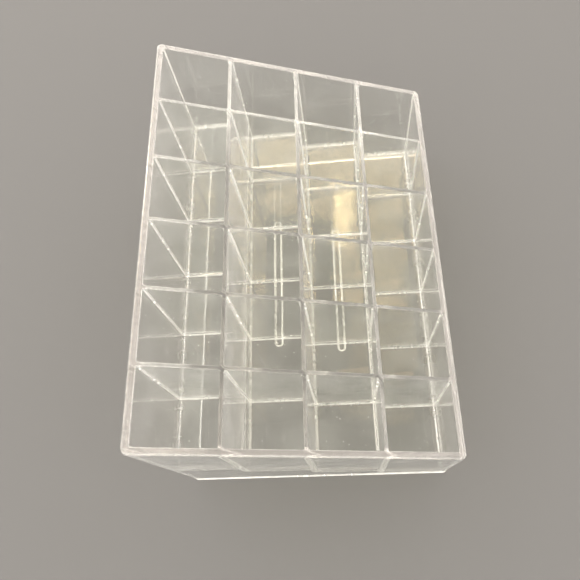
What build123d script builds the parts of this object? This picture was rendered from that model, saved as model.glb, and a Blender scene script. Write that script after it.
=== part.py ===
from build123d import *
import os

# Stepped rack of clear plastic for small bottles: four tiers, each one row of six open pockets.
# Millimetres. X runs along a tier, Y from the low front to the tall back, and Z up.
# The origin is in the middle of the footprint, on the table.
#
# Everything stands in one box of four outer walls, whose rims all lie in one sloping plane.
# Three long dividers cross the box from side wall to side wall. Each tier has its own floor,
# one step above the floor in front of it, and five short partitions that stand on that floor.
# The dividers run down past the higher floor to the lower one, so they are also the risers
# between the steps. Below the floors the box is hollow and open to the table.

# Driving dimensions
WIDTH = 150.0
DEPTH = 100.5
FRONT_HEIGHT = 43.6
BACK_HEIGHT = 82.0
POCKETS_PER_TIER = 6
WALL = 2.3
DIVIDER = 1.3
FLOOR = 2.0
FRONT_FLOOR_TOP = 6.0
STEP = 10.0
CORNER_RADIUS = 2.0
RIM_RADIUS = 0.5
RIB_LENGTH = 56.0
RIB_WIDTH = 2.6
RIB_DEPTH = 1.0

TIERS = ["front", "lower", "upper", "back"]
RIBBED_TIERS = ["lower", "upper"]

# Sizes that follow from them
INNER_WIDTH = WIDTH - 2 * WALL
INNER_DEPTH = DEPTH - 2 * WALL
POCKET_WIDTH = (INNER_WIDTH - (POCKETS_PER_TIER - 1) * DIVIDER) / POCKETS_PER_TIER
POCKET_DEPTH = (INNER_DEPTH - (len(TIERS) - 1) * DIVIDER) / len(TIERS)
PITCH_X = POCKET_WIDTH + DIVIDER
PITCH_Y = POCKET_DEPTH + DIVIDER
RIM_SLOPE = (BACK_HEIGHT - FRONT_HEIGHT) / DEPTH
RIM_PLANE = Plane(
    origin=(0, -DEPTH / 2, FRONT_HEIGHT),
    x_dir=(1, 0, 0),
    z_dir=(0, -RIM_SLOPE, 1),
)
RIM_AXIS = Axis(RIM_PLANE.origin, RIM_PLANE.z_dir)


def tier_y(tier):
    """Middle of a tier, counted 0 to 3 from the front."""
    return (tier - (len(TIERS) - 1) / 2) * PITCH_Y


def floor_top(tier):
    return FRONT_FLOOR_TOP + tier * STEP


def floor_underside(tier):
    return floor_top(tier) - FLOOR


def save(part, name):
    part.label = name
    export_step(part, f"parts/{name}.step")


def upright_plate(width, depth, x, y, bottom):
    """A plate that stands on the height bottom and ends in the sloping rim plane."""
    with BuildPart() as plate:
        with BuildSketch(Plane.XY.offset(bottom)):
            with Locations((x, y)):
                Rectangle(width, depth)
        extrude(amount=BACK_HEIGHT - bottom)
        split(bisect_by=RIM_PLANE, keep=Keep.BOTTOM)
    return plate.part


def end_wall(side):
    """Front wall for side -1 and back wall for side 1, as wide as the rack.

    Its two outer upright corners are round, and so is the outer edge of its rim.
    """
    with BuildPart() as wall:
        with BuildSketch() as footprint:
            with Locations((0, side * (DEPTH - WALL) / 2)):
                Rectangle(WIDTH, WALL)
            outer_line = footprint.vertices().group_by(Axis.Y)[0 if side < 0 else -1]
            fillet(outer_line, CORNER_RADIUS)
        extrude(amount=BACK_HEIGHT)
        split(bisect_by=RIM_PLANE, keep=Keep.BOTTOM)
        rim = wall.faces().sort_by(RIM_AXIS)[-1]
        inner_edge = rim.edges().filter_by(Axis.X).group_by(Axis.Y)[-1 if side < 0 else 0]
        fillet([edge for edge in rim.edges() if edge not in inner_edge], RIM_RADIUS)
    return wall.part


def side_wall(side):
    """Left wall for side -1 and right wall for side 1, fitted between the end walls."""
    with BuildPart() as wall:
        with BuildSketch():
            with Locations((side * (WIDTH - WALL) / 2, 0)):
                Rectangle(WALL, INNER_DEPTH)
        extrude(amount=BACK_HEIGHT)
        split(bisect_by=RIM_PLANE, keep=Keep.BOTTOM)
        rim = wall.faces().sort_by(RIM_AXIS)[-1]
        fillet(rim.edges().group_by(Axis.X)[0 if side < 0 else -1], RIM_RADIUS)
    return wall.part


def tier_floor(tier):
    """A floor between two dividers, with a low round-ended rib under the two middle ones."""
    with BuildPart() as floor:
        with BuildSketch(Plane.XY.offset(floor_underside(tier))):
            with Locations((0, tier_y(tier))):
                Rectangle(INNER_WIDTH, POCKET_DEPTH)
        extrude(amount=FLOOR)
        if TIERS[tier] in RIBBED_TIERS:
            with BuildSketch(Plane.XY.offset(floor_underside(tier))):
                with Locations((0, tier_y(tier))):
                    SlotOverall(RIB_LENGTH, RIB_WIDTH)
            extrude(amount=-RIB_DEPTH)
    return floor.part


os.makedirs("parts", exist_ok=True)

# Outer walls
save(end_wall(-1), "wall_front")
save(end_wall(1), "wall_back")
save(side_wall(-1), "wall_left")
save(side_wall(1), "wall_right")

# Floors of the four tiers
for tier, tier_name in enumerate(TIERS):
    save(tier_floor(tier), f"floor_{tier_name}")

# Long dividers, each between a tier and the next higher one behind it
for tier in range(len(TIERS) - 1):
    long_divider = upright_plate(
        INNER_WIDTH,
        DIVIDER,
        0,
        tier_y(tier) + PITCH_Y / 2,
        floor_underside(tier),
    )
    save(long_divider, f"divider_{TIERS[tier]}_{TIERS[tier + 1]}")

# Short partitions, numbered from the left along each tier
for tier, tier_name in enumerate(TIERS):
    for number in range(1, POCKETS_PER_TIER):
        partition = upright_plate(
            DIVIDER,
            POCKET_DEPTH,
            (number - POCKETS_PER_TIER / 2) * PITCH_X,
            tier_y(tier),
            floor_top(tier),
        )
        save(partition, f"partition_{tier_name}_{number}")
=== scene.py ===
import math

import bmesh
import bpy
from mathutils import Matrix, Vector


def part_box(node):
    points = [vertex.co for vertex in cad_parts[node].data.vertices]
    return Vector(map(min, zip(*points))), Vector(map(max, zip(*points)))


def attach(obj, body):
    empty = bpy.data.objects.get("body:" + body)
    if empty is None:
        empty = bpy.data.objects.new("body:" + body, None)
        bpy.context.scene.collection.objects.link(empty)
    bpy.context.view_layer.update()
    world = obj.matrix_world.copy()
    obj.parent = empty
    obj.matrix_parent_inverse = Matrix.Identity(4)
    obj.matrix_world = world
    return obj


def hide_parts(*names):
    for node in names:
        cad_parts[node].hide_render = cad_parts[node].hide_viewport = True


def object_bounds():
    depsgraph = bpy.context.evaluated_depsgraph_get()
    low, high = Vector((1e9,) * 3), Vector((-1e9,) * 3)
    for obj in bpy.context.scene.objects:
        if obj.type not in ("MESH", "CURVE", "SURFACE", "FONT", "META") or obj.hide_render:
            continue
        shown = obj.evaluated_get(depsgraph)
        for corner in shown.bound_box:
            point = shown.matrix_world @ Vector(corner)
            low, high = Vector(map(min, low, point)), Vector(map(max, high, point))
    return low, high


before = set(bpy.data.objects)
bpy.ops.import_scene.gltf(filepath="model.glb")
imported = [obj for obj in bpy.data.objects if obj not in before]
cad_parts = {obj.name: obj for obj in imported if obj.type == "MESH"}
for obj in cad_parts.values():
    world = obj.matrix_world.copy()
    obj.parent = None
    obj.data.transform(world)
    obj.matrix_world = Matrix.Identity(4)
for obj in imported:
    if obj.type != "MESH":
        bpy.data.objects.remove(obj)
cad_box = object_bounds()

# The rack is one clear moulding. Its whole shape is made first, as a block less its pockets and its
# hollow underside, and is then divided into one closed piece for each plate of the frame. Where two
# pieces meet, the seam lets light through unbent, as it does inside one moulding.

MM = 0.001
TIERS = ["front", "lower", "upper", "back"]
RIBBED_TIERS = ["lower", "upper"]
POCKETS_PER_TIER = 6

# Moulded detail
DRAFT = 0.22 * MM  # each pocket wall leans in by this much from rim to floor
POCKET_CORNER = 0.38 * MM
SHARPEST = 0.05 * MM  # the smallest radius that a pocket's corner narrows to in its cove
POCKET_COVE = 0.5 * MM
SIDE_COVE = 1.3 * MM  # width of the cove along the two side walls
FRONT_WALL_COVE = 2.4 * MM  # and along the front wall
BACK_WALL_COVE = 1.6 * MM  # and along the back wall
RIM_ROUND = 0.3 * MM
OUTER_RIM_ROUND = 0.75 * MM
OUTER_CORNER = 2.0 * MM
FOOT_ROUND = 0.4 * MM
FOOT_BEAD = 0.3 * MM  # how far the foot stands out from the outer walls just above it
STEP_ROUND = 2.0 * MM  # under the foot of each long divider
STEP_COVE = 0.9 * MM
END_COVE = 0.8 * MM  # where the hollow meets the two side walls
RIB_LENGTH = 56.0 * MM
RIB_WIDTH = 2.6 * MM
RIB_ROUND = 0.45 * MM
RIB_COVE = 0.45 * MM
SEAM_GAP = 0.2 * MM  # between a seam and the end of a round corner
SEAM_OFFSET = DRAFT + POCKET_CORNER + SEAM_GAP  # from a plate's face to its seam
ROUND_STEPS = 6
CORNER_STEPS = 10
ABOVE = 1.0 * MM  # how far a cutting shape runs past the surface that it opens
FAR = 1.0  # past every side of the rack

# Finishes of the moulding's faces, as their places in FINISHES
CLEAR, HAZY, COVE, SOFT_COVE, EDGE, RIM = range(6)

# Plastic
POLYSTYRENE_IOR = 1.59
STRAIGHT_ON = (0.92, 0.92, 0.9)  # the share of lamp light that goes straight on through one face
SHEEN = 0.12  # of fine dust, seen at a low angle
SHEEN_ROUGHNESS = 0.3
RIPPLE = 11 * MM
RIPPLE_DEPTH = 0.025 * MM
DUST_APART = 3.1 * MM
DUST_RADIUS = 0.22 * MM
COVE_MOTTLE = 0.16  # how far a cove's clearness varies from patch to patch
RIM_STREAK = 0.1  # how much a streak adds to a rim's clearness and to its roughness
SHADE_LIFTED_EDGE = (0.95, 0.92, 0.88)  # the lighter colours that the painted shade of the partition and divider rims lifts to, far off
SHADE_LIFTED_RIM = (0.85, 0.82, 0.78)
MIX_SOCKETS = ["Factor_Float", "A_Color", "B_Color"]  # the sockets of a Mix node that mixes colours

# Studio, in metres and watts
STUDIO_FLOOR = (0.158, 0.153, 0.148)
STUDIO_FLOOR_ROUGHNESS = 0.9
STUDIO_FLOOR_REACH = 3.0
STUDIO_FLOOR_DROP = 0.05 * MM  # keeps it clear of the foot
ROOM = (1.0, 0.97, 0.93)
LOW_LIGHT = 3.0  # the room's brightness all round
OVERHEAD_LIGHT = 0.5  # and overhead
LOW_ENDS = 0.55  # how high the low light ends and the overhead starts, as sines of the angle
OVERHEAD_STARTS = 0.9
WARM = (1.0, 0.75, 0.4)
WHITE = (1.0, 0.96, 0.9)
LAMPS = [  # name, place, width and height, power, colour
    ("glare", (0.6, -0.02, 0.85), (0.34, 0.16), 0.58, WARM),
    ("glare_core", (0.53, -0.025, 0.88), (0.04, 0.12), 0.16, WARM),
    ("glare_spill", (0.458, -0.083, 0.936), (0.16, 0.17), 0.26, WARM),
    ("glare_tail", (0.28, -0.104, 0.996), (0.15, 0.236), 0.12, WARM),
    ("back_strip", (0.45, 0.65, 1.0), (0.9, 0.12), 4.0, WHITE),
]
LAMP_TARGET = (0, 0, 0.03)
CAMERA_PLACE = (-0.09554, -0.01266, 0.23958)
CAMERA_TARGET = (-0.00676, 0.00697, 0.03)
CAMERA_ROLL = -14.76  # degrees
CAMERA_SENSOR = 36.0  # millimetres, and so is the lens
CAMERA_LENS = 35.77
CAMERA_CLIP = 0.01
MOST_BOUNCES = 40
MOST_CLEAR_BOUNCES = 64
MOST_GLOSSY_BOUNCES = 16


# ---------------------------------------------------------------- sizes that the frame gives

def low(node):
    """A node's lowest corner."""
    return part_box(node)[0]


def high(node):
    """A node's highest corner."""
    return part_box(node)[1]


def divider(tier):
    """The long divider behind a tier, counted from 0 at the front."""
    return f"divider_{TIERS[tier]}_{TIERS[tier + 1]}"


X_LEFT = high("wall_left").x
X_RIGHT = low("wall_right").x
Y_FRONT = high("wall_front").y
Y_BACK = low("wall_back").y
FIRST_DIVIDER = high(divider(0))
LAST_DIVIDER = high(divider(2))
RIM_SLOPE = (LAST_DIVIDER.z - FIRST_DIVIDER.z) / (LAST_DIVIDER.y - FIRST_DIVIDER.y)
FLOOR_THICKNESS = high("floor_front").z - low("floor_front").z
PAINTED_SHADE_LIFTS = [  # axis, and where along it the painted shade of the partition and divider rims starts and ends lifting to a lighter colour
    ("X", X_RIGHT - 48 * MM, X_RIGHT - 23 * MM),
    ("Y", Y_BACK - 16 * MM, Y_BACK - 11 * MM),
]


def rim_height(y):
    """Height of the sloping plane that every rim lies in."""
    return FIRST_DIVIDER.z + RIM_SLOPE * (y - FIRST_DIVIDER.y)


def tier_span(tier):
    """Front and back of a tier's pockets."""
    front = Y_FRONT if tier == 0 else high(divider(tier - 1)).y
    back = Y_BACK if tier == len(TIERS) - 1 else low(divider(tier)).y
    return front, back


def pocket_span(tier, pocket):
    """Left and right of a pocket, counted from 0 at the left."""
    name = TIERS[tier]
    left = X_LEFT if pocket == 0 else high(f"partition_{name}_{pocket}").x
    last = pocket == POCKETS_PER_TIER - 1
    right = X_RIGHT if last else low(f"partition_{name}_{pocket + 1}").x
    return left, right


# ---------------------------------------------------------------- mesh building

def rounded_ring(x_span, y_span, grow, radius, steps, height, inset=(0, 0, 0, 0)):
    """Points round a rectangle with round corners, grown by grow on every side.

    inset moves the left, right, front and back sides further in, and height(y) gives each
    point's height.
    """
    x_low, x_high = x_span[0] - grow + inset[0], x_span[1] + grow - inset[1]
    y_low, y_high = y_span[0] - grow + inset[2], y_span[1] + grow - inset[3]
    corners = [
        (x_high - radius, y_high - radius, 0),
        (x_low + radius, y_high - radius, 90),
        (x_low + radius, y_low + radius, 180),
        (x_high - radius, y_low + radius, 270),
    ]
    ring = []
    for x, y, start in corners:
        for step in range(steps + 1):
            angle = math.radians(start + 90 * step / steps)
            across = x + radius * math.cos(angle)
            along = y + radius * math.sin(angle)
            ring.append(Vector((across, along, height(along))))
    return ring


def loft(
    mesh, rings, below=CLEAR, across=None, above=CLEAR, bottom=CLEAR, top=CLEAR, corners=CLEAR,
    facing=CLEAR,
):
    """Adds a closed shape through rings of equally many points, from the lowest to the highest.

    below, above, bottom, top and corners are the finishes of its lowest and highest rounded
    bands, its lowest and highest face, and its upright corners. On the two sides that run along
    X, across, if given, replaces below, and facing is the finish between the rounded bands.
    The rest is clear.
    """
    rows = [[mesh.verts.new(point) for point in ring] for ring in rings]
    count = len(rows[0])
    corner = count // 4
    bands = len(rows) - 1
    for band in range(bands):
        lower, upper = rows[band], rows[band + 1]
        for i in range(count):
            j = (i + 1) % count
            face = mesh.faces.new((lower[i], lower[j], upper[j], upper[i]))
            side, step = divmod(i, corner)
            at_corner = step != corner - 1
            along_x = side % 2 == 0 and not at_corner
            if band < ROUND_STEPS:
                face.material_index = across if along_x and across is not None else below
            elif band >= bands - ROUND_STEPS:
                face.material_index = above
            elif at_corner:
                face.material_index = corners
            elif along_x:
                face.material_index = facing
    mesh.faces.new(reversed(rows[0])).material_index = bottom
    mesh.faces.new(rows[-1]).material_index = top


def quarter(steps):
    """Angles from 0 to 90 degrees, in radians."""
    return [math.radians(90 * step / steps) for step in range(steps + 1)]


def new_object(name, mesh, *materials):
    """Puts a mesh that is being built into the scene, as an object with these materials."""
    data = bpy.data.meshes.new(name)
    mesh.to_mesh(data)
    mesh.free()
    for material in materials:
        data.materials.append(material)
    made = bpy.data.objects.new(name, data)
    bpy.context.scene.collection.objects.link(made)
    return made


def add_pocket(mesh, x_span, y_span, floor):
    """The space of one pocket: coved at the floor, drafted, and flared where the rim is rounded.

    The cove is wider along the outer walls of the rack.
    """
    at_walls = [
        (SIDE_COVE, x_span[0] == X_LEFT),
        (SIDE_COVE, x_span[1] == X_RIGHT),
        (FRONT_WALL_COVE, y_span[0] == Y_FRONT),
        (BACK_WALL_COVE, y_span[1] == Y_BACK),
    ]
    wider = [(width - POCKET_COVE) * at_wall for width, at_wall in at_walls]
    rings = []
    for angle in quarter(ROUND_STEPS):
        share = 1 - math.sin(angle)
        inward = POCKET_COVE * share
        rise = POCKET_COVE * (1 - math.cos(angle))
        rings.append(
            rounded_ring(
                x_span, y_span, -DRAFT - inward, max(POCKET_CORNER - inward, SHARPEST), ROUND_STEPS,
                lambda y, rise=rise: floor + rise,
                inset=[extra * share for extra in wider],
            )
        )
    for angle in quarter(ROUND_STEPS)[:-1]:
        outward = RIM_ROUND * (1 - math.cos(angle))
        below = RIM_ROUND * (1 - math.sin(angle))
        rings.append(
            rounded_ring(
                x_span, y_span, outward, POCKET_CORNER + outward, ROUND_STEPS,
                lambda y, below=below: rim_height(y) - below,
            )
        )
    rings.append(
        rounded_ring(
            x_span, y_span, RIM_ROUND * 2, POCKET_CORNER + RIM_ROUND * 2, ROUND_STEPS,
            lambda y: rim_height(y) + ABOVE,
        )
    )
    loft(mesh, rings, below=COVE, across=SOFT_COVE, above=EDGE, corners=COVE, facing=HAZY)


def rounded_outline(corners):
    """The outline through corners, each a place and a radius. The first and last stay sharp."""
    outline = [Vector(corners[0][0])]
    for (before, _), (at, radius), (after, _) in zip(corners, corners[1:], corners[2:]):
        at = Vector(at)
        back = (Vector(before) - at).normalized()
        on = (Vector(after) - at).normalized()
        half = back.angle(on) / 2
        centre = at + (back + on).normalized() * radius / math.sin(half)
        start = at + back * radius / math.tan(half)
        arm = start - centre
        turn = arm.angle_signed(at + on * radius / math.tan(half) - centre)
        for step in range(ROUND_STEPS + 1):
            angle = -turn * step / ROUND_STEPS
            across = arm.x * math.cos(angle) - arm.y * math.sin(angle)
            up = arm.x * math.sin(angle) + arm.y * math.cos(angle)
            outline.append(centre + Vector((across, up)))
    outline.append(Vector(corners[-1][0]))
    return outline


def hollow_outline(inset):
    """The hollow's section, a staircase of y and z, drawn in from the plastic by inset."""
    corners = [((Y_FRONT + inset, -ABOVE), 0)]
    for tier, name in enumerate(TIERS):
        underside = high(f"floor_{name}").z - FLOOR_THICKNESS - inset
        front = Y_FRONT if tier == 0 else high(divider(tier - 1)).y
        corners.append(((front + inset, underside), STEP_COVE - inset))
        if tier < len(TIERS) - 1:
            corners.append(((high(divider(tier)).y + inset, underside), STEP_ROUND + inset))
    corners.append(((Y_BACK - inset, underside), STEP_COVE - inset))
    corners.append(((Y_BACK - inset, -ABOVE), 0))
    return rounded_outline(corners)


def add_underside(mesh):
    """The hollow under the floors, from side wall to side wall, coved where it meets them.

    The rounded edges of its steps are coves too, the softer kind along the back wall.
    """
    sections = []
    for angle in quarter(ROUND_STEPS):
        along = END_COVE * (1 - math.cos(angle))
        sections.append((X_LEFT + along, END_COVE * (1 - math.sin(angle))))
    sections += [(X_LEFT + X_RIGHT - x, inset) for x, inset in reversed(sections)]
    rows = []
    for x, inset in sections:
        rows.append([mesh.verts.new((x, y, z)) for y, z in hollow_outline(inset)])
    count = len(rows[0])
    # Points 0 and count - 1 are at the foot. Between them, each ROUND_STEPS + 1 make one arc.
    for band, (left, right) in enumerate(zip(rows, rows[1:])):
        for i in range(count):
            j = (i + 1) % count
            face = mesh.faces.new((left[i], right[i], right[j], left[j]))
            on_arc = 1 <= i < count - 2 and (i - 1) % (ROUND_STEPS + 1) != ROUND_STEPS
            at_back = i >= count - 2 - ROUND_STEPS
            if band != ROUND_STEPS or on_arc:
                face.material_index = SOFT_COVE if at_back else COVE
    mesh.faces.new(rows[0])
    mesh.faces.new(reversed(rows[-1]))


def outer_block():
    """The rack's outside as a solid block: round upright corners and rim, and a beaded foot."""
    mesh = bmesh.new()
    x_span = (cad_box[0].x, cad_box[1].x)
    y_span = (cad_box[0].y, cad_box[1].y)
    rings = []
    foot = []
    for angle in quarter(ROUND_STEPS - 1):
        foot.append((FOOT_ROUND * (1 - math.sin(angle)), FOOT_ROUND * (1 - math.cos(angle))))
    foot.append((FOOT_BEAD, FOOT_ROUND + FOOT_BEAD))
    for inward, rise in foot:
        rings.append(
            rounded_ring(
                x_span, y_span, -inward, OUTER_CORNER - inward, CORNER_STEPS,
                lambda y, rise=rise: rise,
            )
        )
    for angle in quarter(ROUND_STEPS):
        inward = OUTER_RIM_ROUND * (1 - math.cos(angle))
        below = OUTER_RIM_ROUND * (1 - math.sin(angle))
        rings.append(
            rounded_ring(
                x_span, y_span, -inward, OUTER_CORNER - inward, CORNER_STEPS,
                lambda y, below=below: rim_height(y) - below,
            )
        )
    loft(mesh, rings, below=COVE, above=EDGE, top=RIM, corners=COVE)
    return new_object("outer_block", mesh, *FINISHES)


def cutting_shapes():
    """All that is cut from the block: the pockets and the hollow underside."""
    mesh = bmesh.new()
    for tier, name in enumerate(TIERS):
        floor = high(f"floor_{name}").z
        for pocket in range(POCKETS_PER_TIER):
            add_pocket(mesh, pocket_span(tier, pocket), tier_span(tier), floor)
    add_underside(mesh)
    bmesh.ops.recalc_face_normals(mesh, faces=mesh.faces)
    return new_object("cutting_shapes", mesh, *FINISHES)


def stiffening_ribs():
    """Low round-ended ribs under the two middle floors, sunk a little into them."""
    mesh = bmesh.new()
    for name in RIBBED_TIERS:
        bottom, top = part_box(f"floor_{name}")
        underside = top.z - FLOOR_THICKNESS
        middle = (bottom.y + top.y) / 2
        x_span = (-RIB_LENGTH / 2, RIB_LENGTH / 2)
        y_span = (middle - RIB_WIDTH / 2, middle + RIB_WIDTH / 2)
        rings = []
        for angle in quarter(ROUND_STEPS):
            inward = RIB_ROUND * (1 - math.sin(angle))
            rise = RIB_ROUND * (1 - math.cos(angle))
            rings.append(
                rounded_ring(
                    x_span, y_span, -inward, RIB_WIDTH / 2 - inward, CORNER_STEPS,
                    lambda y, rise=rise: bottom.z + rise,
                )
            )
        for angle in quarter(ROUND_STEPS):
            outward = RIB_COVE * (1 - math.cos(angle))
            below = RIB_COVE * (1 - math.sin(angle))
            rings.append(
                rounded_ring(
                    x_span, y_span, outward, RIB_WIDTH / 2 + outward, CORNER_STEPS,
                    lambda y, below=below: underside - below,
                )
            )
        rings.append(
            rounded_ring(
                x_span, y_span, RIB_COVE, RIB_WIDTH / 2 + RIB_COVE, CORNER_STEPS,
                lambda y: underside + FLOOR_THICKNESS / 4,
            )
        )
        loft(mesh, rings, below=COVE, above=COVE)
    return new_object("ribs", mesh, *FINISHES)


def combined(target, cutter, operation):
    """The mesh that a boolean of the two gives. Both objects stay as they are."""
    change = target.modifiers.new("cut", "BOOLEAN")
    change.operation = operation
    change.object = cutter
    change.solver = "EXACT"
    change.material_mode = "TRANSFER"
    graph = bpy.context.evaluated_depsgraph_get()
    result = bpy.data.meshes.new_from_object(target.evaluated_get(graph))
    target.modifiers.clear()
    return result


# ---------------------------------------------------------------- materials

def new_material(name, colour):
    """A material with one Principled shader of polystyrene, and its node tree."""
    material = bpy.data.materials.new(name)
    material.use_nodes = True
    surface = material.node_tree.nodes["Principled BSDF"]
    surface.inputs["Base Color"].default_value = (*colour, 1)
    surface.inputs["IOR"].default_value = POLYSTYRENE_IOR
    return material, material.node_tree, surface


def lit_through(tree, surface):
    """Lets lamp light, and light on its way to a matt surface, straight on through the plastic."""
    path = tree.nodes.new("ShaderNodeLightPath")
    either = tree.nodes.new("ShaderNodeMath")
    either.operation = "MAXIMUM"
    tree.links.new(path.outputs["Is Shadow Ray"], either.inputs[0])
    tree.links.new(path.outputs["Is Diffuse Ray"], either.inputs[1])
    straight_on = tree.nodes.new("ShaderNodeBsdfTransparent")
    straight_on.inputs["Color"].default_value = (*STRAIGHT_ON, 1)
    mix = tree.nodes.new("ShaderNodeMixShader")
    tree.links.new(either.outputs[0], mix.inputs["Fac"])
    tree.links.new(surface.outputs[0], mix.inputs[1])
    tree.links.new(straight_on.outputs[0], mix.inputs[2])
    tree.links.new(mix.outputs[0], tree.nodes["Material Output"].inputs["Surface"])


def patches(tree, size, stretch=(1, 1, 1), turn=(0, 0, 0), low=0.4, high=0.6, detail=3.0):
    """A mask from 0 to 1 in patches about size metres across, stretched along the axes."""
    place = tree.nodes.new("ShaderNodeTexCoord")
    mapping = tree.nodes.new("ShaderNodeMapping")
    mapping.inputs["Rotation"].default_value = [math.radians(angle) for angle in turn]
    mapping.inputs["Scale"].default_value = [1 / (size * long) for long in stretch]
    tree.links.new(place.outputs["Object"], mapping.inputs["Vector"])
    noise = tree.nodes.new("ShaderNodeTexNoise")
    noise.inputs["Scale"].default_value = 1.0
    noise.inputs["Detail"].default_value = detail
    tree.links.new(mapping.outputs["Vector"], noise.inputs["Vector"])
    ramp = tree.nodes.new("ShaderNodeMapRange")
    ramp.interpolation_type = "SMOOTHSTEP"
    ramp.inputs["From Min"].default_value = low
    ramp.inputs["From Max"].default_value = high
    tree.links.new(noise.outputs["Fac"], ramp.inputs["Value"])
    return ramp.outputs["Result"]


def specks(tree, apart, radius):
    """A mask of round specks of this radius, scattered about this many metres apart."""
    place = tree.nodes.new("ShaderNodeTexCoord")
    cells = tree.nodes.new("ShaderNodeTexVoronoi")
    cells.inputs["Scale"].default_value = 1 / apart
    tree.links.new(place.outputs["Object"], cells.inputs["Vector"])
    ramp = tree.nodes.new("ShaderNodeMapRange")
    ramp.inputs["From Min"].default_value = 0.5 * radius / apart
    ramp.inputs["From Max"].default_value = radius / apart
    ramp.inputs["To Min"].default_value = 1.0
    ramp.inputs["To Max"].default_value = 0.0
    tree.links.new(cells.outputs["Distance"], ramp.inputs["Value"])
    return ramp.outputs["Result"]


def blend(tree, base, parts):
    """base plus each part's mask times its amount."""
    total = None
    for mask, amount in parts:
        step = tree.nodes.new("ShaderNodeMath")
        step.operation = "MULTIPLY_ADD"
        tree.links.new(mask, step.inputs[0])
        step.inputs[1].default_value = amount
        if total is None:
            step.inputs[2].default_value = base
        else:
            tree.links.new(total, step.inputs[2])
        total = step.outputs[0]
    return total


def lift_painted_shade_far_off(tree, surface, colour, lighter):
    """Lifts the painted shade of a base colour to a lighter colour towards the right wall and the
    back wall, a painted brightening of the rims there.
    """
    place = tree.nodes.new("ShaderNodeTexCoord")
    position = tree.nodes.new("ShaderNodeSeparateXYZ")
    tree.links.new(place.outputs["Object"], position.inputs["Vector"])
    either = tree.nodes.new("ShaderNodeMath")
    either.operation = "MAXIMUM"
    for number, (axis, start, end) in enumerate(PAINTED_SHADE_LIFTS):
        ramp = tree.nodes.new("ShaderNodeMapRange")
        ramp.interpolation_type = "SMOOTHSTEP"
        ramp.inputs["From Min"].default_value = start
        ramp.inputs["From Max"].default_value = end
        tree.links.new(position.outputs[axis], ramp.inputs["Value"])
        tree.links.new(ramp.outputs["Result"], either.inputs[number])
    mix = tree.nodes.new("ShaderNodeMix")
    mix.data_type = "RGBA"
    share, plain, shade_lifted_socket = [socket for socket in mix.inputs if socket.identifier in MIX_SOCKETS]
    tree.links.new(either.outputs[0], share)
    plain.default_value = (*colour, 1)
    shade_lifted_socket.default_value = (*lighter, 1)
    mixed = next(socket for socket in mix.outputs if socket.type == "RGBA")
    tree.links.new(mixed, surface.inputs["Base Color"])


def bumped(tree, surface, height, depth):
    """Tilts the surface by a height mask of that many metres."""
    bump = tree.nodes.new("ShaderNodeBump")
    bump.inputs["Strength"].default_value = 1.0
    bump.inputs["Distance"].default_value = depth
    tree.links.new(height, bump.inputs["Height"])
    tree.links.new(bump.outputs["Normal"], surface.inputs["Normal"])


def clear_plastic(name, colour, clearness):
    """Clear polystyrene with a faint haze of dust and scuffs, fine scratches and mould ripple."""
    material, tree, surface = new_material(name, colour)
    surface.inputs["Sheen Weight"].default_value = SHEEN
    surface.inputs["Sheen Roughness"].default_value = SHEEN_ROUGHNESS
    clouds = patches(tree, 12 * MM, low=0.35, high=0.7, detail=0.5)
    upright_scratches = patches(
        tree, 0.2 * MM, stretch=(1, 1, 60), turn=(4, 7, 0), low=0.68, high=0.76, detail=1.0
    )
    slanted_scratches = patches(
        tree, 0.22 * MM, stretch=(45, 1, 1), turn=(0, 24, 31), low=0.7, high=0.78, detail=1.0
    )
    grain = patches(tree, 0.6 * MM, stretch=(6, 1, 1), low=0.4, high=0.75)
    dust = specks(tree, DUST_APART, DUST_RADIUS)
    haze = [
        (clouds, -0.03),
        (grain, -0.03),
        (upright_scratches, -0.2),
        (slanted_scratches, -0.2),
        (dust, -0.75),
    ]
    tree.links.new(blend(tree, clearness, haze), surface.inputs["Transmission Weight"])
    dull = [(clouds, 0.05), (upright_scratches, 0.1), (slanted_scratches, 0.1)]
    tree.links.new(blend(tree, 0.02, dull), surface.inputs["Roughness"])
    ripple = patches(tree, RIPPLE, low=0.0, high=1.0, detail=0.0)
    bumped(tree, surface, ripple, RIPPLE_DEPTH)
    lit_through(tree, surface)
    return material


def cove_plastic(name, colour, clearness):
    """The same plastic where it scatters light, along its coves, inner corners, ribs and foot."""
    material, tree, surface = new_material(name, colour)
    scuffs = patches(tree, 4 * MM, low=0.3, high=0.7)
    clear = blend(tree, clearness - COVE_MOTTLE / 2, [(scuffs, COVE_MOTTLE)])
    tree.links.new(clear, surface.inputs["Transmission Weight"])
    tree.links.new(blend(tree, 0.1, [(scuffs, 0.2)]), surface.inputs["Roughness"])
    lit_through(tree, surface)
    return material


def edge_plastic(name, colour, lighter=None):
    """The rounded edges of the rims, a little scuffed. The last argument, if given, is the lighter
    colour that their painted shade lifts to far off.
    """
    material, tree, surface = new_material(name, colour)
    # painted shade, lifted to painted light towards the right and back walls
    if lighter:
        lift_painted_shade_far_off(tree, surface, colour, lighter)
    scuffs = patches(tree, 1.2 * MM, low=0.3, high=0.7)
    tree.links.new(blend(tree, 0.8, [(scuffs, 0.15)]), surface.inputs["Transmission Weight"])
    tree.links.new(blend(tree, 0.04, [(scuffs, 0.12)]), surface.inputs["Roughness"])
    lit_through(tree, surface)
    return material


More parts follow.
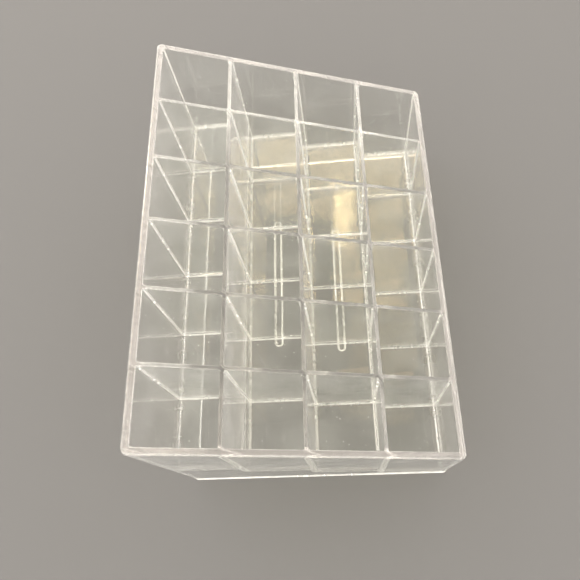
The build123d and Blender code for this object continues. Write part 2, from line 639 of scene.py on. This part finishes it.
def rim_plastic(name, colour, clearness, lighter=None):
    """The flat top of a rim, with fine streaks along it. The last argument, if given, is the
    lighter colour that its painted shade lifts to far off.
    """
    material, tree, surface = new_material(name, colour)
    # painted shade, lifted to painted light towards the right and back walls
    if lighter:
        lift_painted_shade_far_off(tree, surface, colour, lighter)
    streaks_x = patches(tree, 0.5 * MM, stretch=(50, 1, 50), low=0.4, high=0.6, detail=1.0)
    streaks_y = patches(tree, 0.5 * MM, stretch=(1, 50, 20), low=0.4, high=0.6, detail=1.0)
    streaks = [(streaks_x, RIM_STREAK), (streaks_y, RIM_STREAK)]
    clear = blend(tree, clearness - RIM_STREAK * 2, streaks)
    tree.links.new(clear, surface.inputs["Transmission Weight"])
    tree.links.new(blend(tree, 0.04, streaks), surface.inputs["Roughness"])
    lit_through(tree, surface)
    return material


def seam_plastic():
    """Where two pieces meet inside the moulding: light goes straight on."""
    material = bpy.data.materials.new("moulded_seam")
    material.use_nodes = True
    tree = material.node_tree
    tree.nodes.remove(tree.nodes["Principled BSDF"])
    straight_on = tree.nodes.new("ShaderNodeBsdfTransparent")
    tree.links.new(straight_on.outputs[0], tree.nodes["Material Output"].inputs["Surface"])
    return material


# ---------------------------------------------------------------- the moulding and its pieces

FINISHES = [
    clear_plastic("clear_polystyrene", (0.965, 0.968, 0.95), 0.988),
    clear_plastic("hazy_polystyrene", (0.97, 0.955, 0.94), 0.95),
    cove_plastic("cove", (1.0, 0.98, 0.95), 0.6),
    cove_plastic("soft_cove", (0.68, 0.665, 0.64), 0.88),
    edge_plastic("wall_edge", (0.88, 0.83, 0.8)),
    rim_plastic("wall_rim", (0.7, 0.64, 0.61), 0.98),
]
# The partitions' rims have painted shade, a darker grey than the walls round them, and the long
# dividers' rims are darker still. It stands in for the darkness that refraction gives these clear
# rims, and lifts far off.
PAINTED_SHADE_FINISHES = {
    "wall": {},
    "floor": {},
    # painted shade: dark rim colours standing in for the shade that refraction casts on these rims
    "partition": {
        FINISHES[EDGE]: edge_plastic("partition_edge", (0.5, 0.47, 0.44), SHADE_LIFTED_EDGE),
        FINISHES[RIM]: rim_plastic("partition_rim", (0.35, 0.33, 0.31), 1.0, SHADE_LIFTED_RIM),
    },
    "divider": {
        FINISHES[EDGE]: edge_plastic("divider_edge", (0.32, 0.305, 0.29), SHADE_LIFTED_EDGE),
        FINISHES[RIM]: rim_plastic("divider_rim", (0.23, 0.216, 0.205), 1.0, SHADE_LIFTED_RIM),
    },
}
SEAM = seam_plastic()


def moulding():
    """The whole rack as one closed shape."""
    block = outer_block()
    for shape, operation in [(cutting_shapes(), "DIFFERENCE"), (stiffening_ribs(), "UNION")]:
        block.data = combined(block, shape, operation)
        bpy.data.objects.remove(shape)
    return block


def add_box(mesh, x_span, y_span, z_span):
    """Adds a plain box, which only divides the moulding and is no piece itself."""
    left, right = x_span
    front, back = y_span
    outline = [(left, front), (right, front), (right, back), (left, back)]
    lower, upper = [[mesh.verts.new((x, y, z)) for x, y in outline] for z in z_span]
    for i in range(4):
        j = (i + 1) % 4
        mesh.faces.new((lower[i], lower[j], upper[j], upper[i]))
    mesh.faces.new(reversed(lower))
    mesh.faces.new(upper)


def piece_in(whole, name, x_span, y_span, z_span):
    """Adds the piece of the moulding that is inside a box, whose own faces become the seams."""
    mesh = bmesh.new()
    add_box(mesh, x_span, y_span, z_span)
    piece = new_object("clear_" + name, mesh, SEAM)
    piece.data = combined(piece, whole, "INTERSECT")
    piece.data.name = piece.name
    # partitions and dividers take rim materials with painted shade in their colour
    painted_shade_finishes = PAINTED_SHADE_FINISHES[name.split("_")[0]]
    for slot, material in enumerate(piece.data.materials):
        piece.data.materials[slot] = painted_shade_finishes.get(material, material)
    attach(piece, "root")
    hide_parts(name)


def all_pieces():
    """Divides the moulding into one piece for each node, along seams just off each plate."""
    whole = moulding()
    left, right = X_LEFT + SEAM_OFFSET, X_RIGHT - SEAM_OFFSET
    front, back = Y_FRONT + SEAM_OFFSET, Y_BACK - SEAM_OFFSET
    everywhere = (-FAR, FAR)
    piece_in(whole, "wall_front", everywhere, (-FAR, front), everywhere)
    piece_in(whole, "wall_back", everywhere, (back, FAR), everywhere)
    piece_in(whole, "wall_left", (-FAR, left), (front, back), everywhere)
    piece_in(whole, "wall_right", (right, FAR), (front, back), everywhere)
    across = (left, right)
    for tier in range(len(TIERS) - 1):
        name = divider(tier)
        along = (low(name).y - SEAM_OFFSET, high(name).y + SEAM_OFFSET)
        piece_in(whole, name, across, along, everywhere)
    for tier, name in enumerate(TIERS):
        span = tier_span(tier)
        along = (span[0] + SEAM_OFFSET, span[1] - SEAM_OFFSET)
        floor_seam = high(f"floor_{name}").z + SEAM_OFFSET
        piece_in(whole, f"floor_{name}", across, along, (-FAR, floor_seam))
        for number in range(1, POCKETS_PER_TIER):
            partition = f"partition_{name}_{number}"
            beside = (low(partition).x - SEAM_OFFSET, high(partition).x + SEAM_OFFSET)
            piece_in(whole, partition, beside, along, (floor_seam, FAR))
    bpy.data.objects.remove(whole)


all_pieces()


# ---------------------------------------------------------------- floor, light and camera

def studio_floor():
    """A plain matt floor, grey enough for the bright edges of clear plastic to show."""
    mesh = bmesh.new()
    reach = STUDIO_FLOOR_REACH
    corners = [(-reach, -reach, 0), (reach, -reach, 0), (reach, reach, 0), (-reach, reach, 0)]
    mesh.faces.new([mesh.verts.new(corner) for corner in corners])
    material = bpy.data.materials.new("pale_floor")
    material.use_nodes = True
    surface = material.node_tree.nodes["Principled BSDF"]
    surface.inputs["Base Color"].default_value = (*STUDIO_FLOOR, 1)
    surface.inputs["Roughness"].default_value = STUDIO_FLOOR_ROUGHNESS
    floor = new_object("studio_floor", mesh, material)
    floor.location.z = -STUDIO_FLOOR_DROP


def aim(thing, at, target, roll=0.0):
    """Puts a lamp or camera at a place, facing the target and turned about that line by roll."""
    direction = Vector(target) - Vector(at)
    turn = direction.to_track_quat("-Z", "Y").to_matrix().to_4x4()
    turn = turn @ Matrix.Rotation(roll, 4, "Z")
    thing.matrix_world = Matrix.Translation(at) @ turn


def soft_light(name, at, size, power, colour):
    data = bpy.data.lights.new(name, "AREA")
    data.shape = "RECTANGLE"
    data.size, data.size_y = size
    data.energy = power
    data.color = colour
    light = bpy.data.objects.new(name, data)
    bpy.context.scene.collection.objects.link(light)
    aim(light, at, LAMP_TARGET)


def studio():
    """A room bright all round and dark overhead, with lamps for the warm glare and the rims."""
    world = bpy.data.worlds.new("studio")
    bpy.context.scene.world = world
    world.use_nodes = True
    tree = world.node_tree
    background = tree.nodes["Background"]
    background.inputs["Color"].default_value = (*ROOM, 1)
    place = tree.nodes.new("ShaderNodeTexCoord")
    direction = tree.nodes.new("ShaderNodeSeparateXYZ")
    tree.links.new(place.outputs["Generated"], direction.inputs["Vector"])
    ramp = tree.nodes.new("ShaderNodeMapRange")
    ramp.interpolation_type = "SMOOTHSTEP"
    ramp.inputs["From Min"].default_value = LOW_ENDS
    ramp.inputs["From Max"].default_value = OVERHEAD_STARTS
    ramp.inputs["To Min"].default_value = LOW_LIGHT
    ramp.inputs["To Max"].default_value = OVERHEAD_LIGHT
    tree.links.new(direction.outputs["Z"], ramp.inputs["Value"])
    tree.links.new(ramp.outputs["Result"], background.inputs["Strength"])
    for lamp in LAMPS:
        soft_light(*lamp)


def camera():
    """The photograph's viewing angle."""
    data = bpy.data.cameras.new("photo_view")
    data.sensor_width = CAMERA_SENSOR
    data.lens = CAMERA_LENS
    data.clip_start = CAMERA_CLIP
    made = bpy.data.objects.new("photo_view", data)
    bpy.context.scene.collection.objects.link(made)
    aim(made, CAMERA_PLACE, CAMERA_TARGET, math.radians(CAMERA_ROLL))
    bpy.context.scene.camera = made


def light_paths():
    """Lets light pass a whole row of clear walls, and leaves out caustics, which would be noise."""
    cycles = bpy.context.scene.cycles
    cycles.max_bounces = MOST_BOUNCES
    cycles.transmission_bounces = MOST_BOUNCES
    cycles.transparent_max_bounces = MOST_CLEAR_BOUNCES
    cycles.glossy_bounces = MOST_GLOSSY_BOUNCES
    cycles.caustics_reflective = False
    cycles.caustics_refractive = False
    bpy.context.scene.view_settings.view_transform = "Standard"


studio_floor()
studio()
camera()
light_paths()
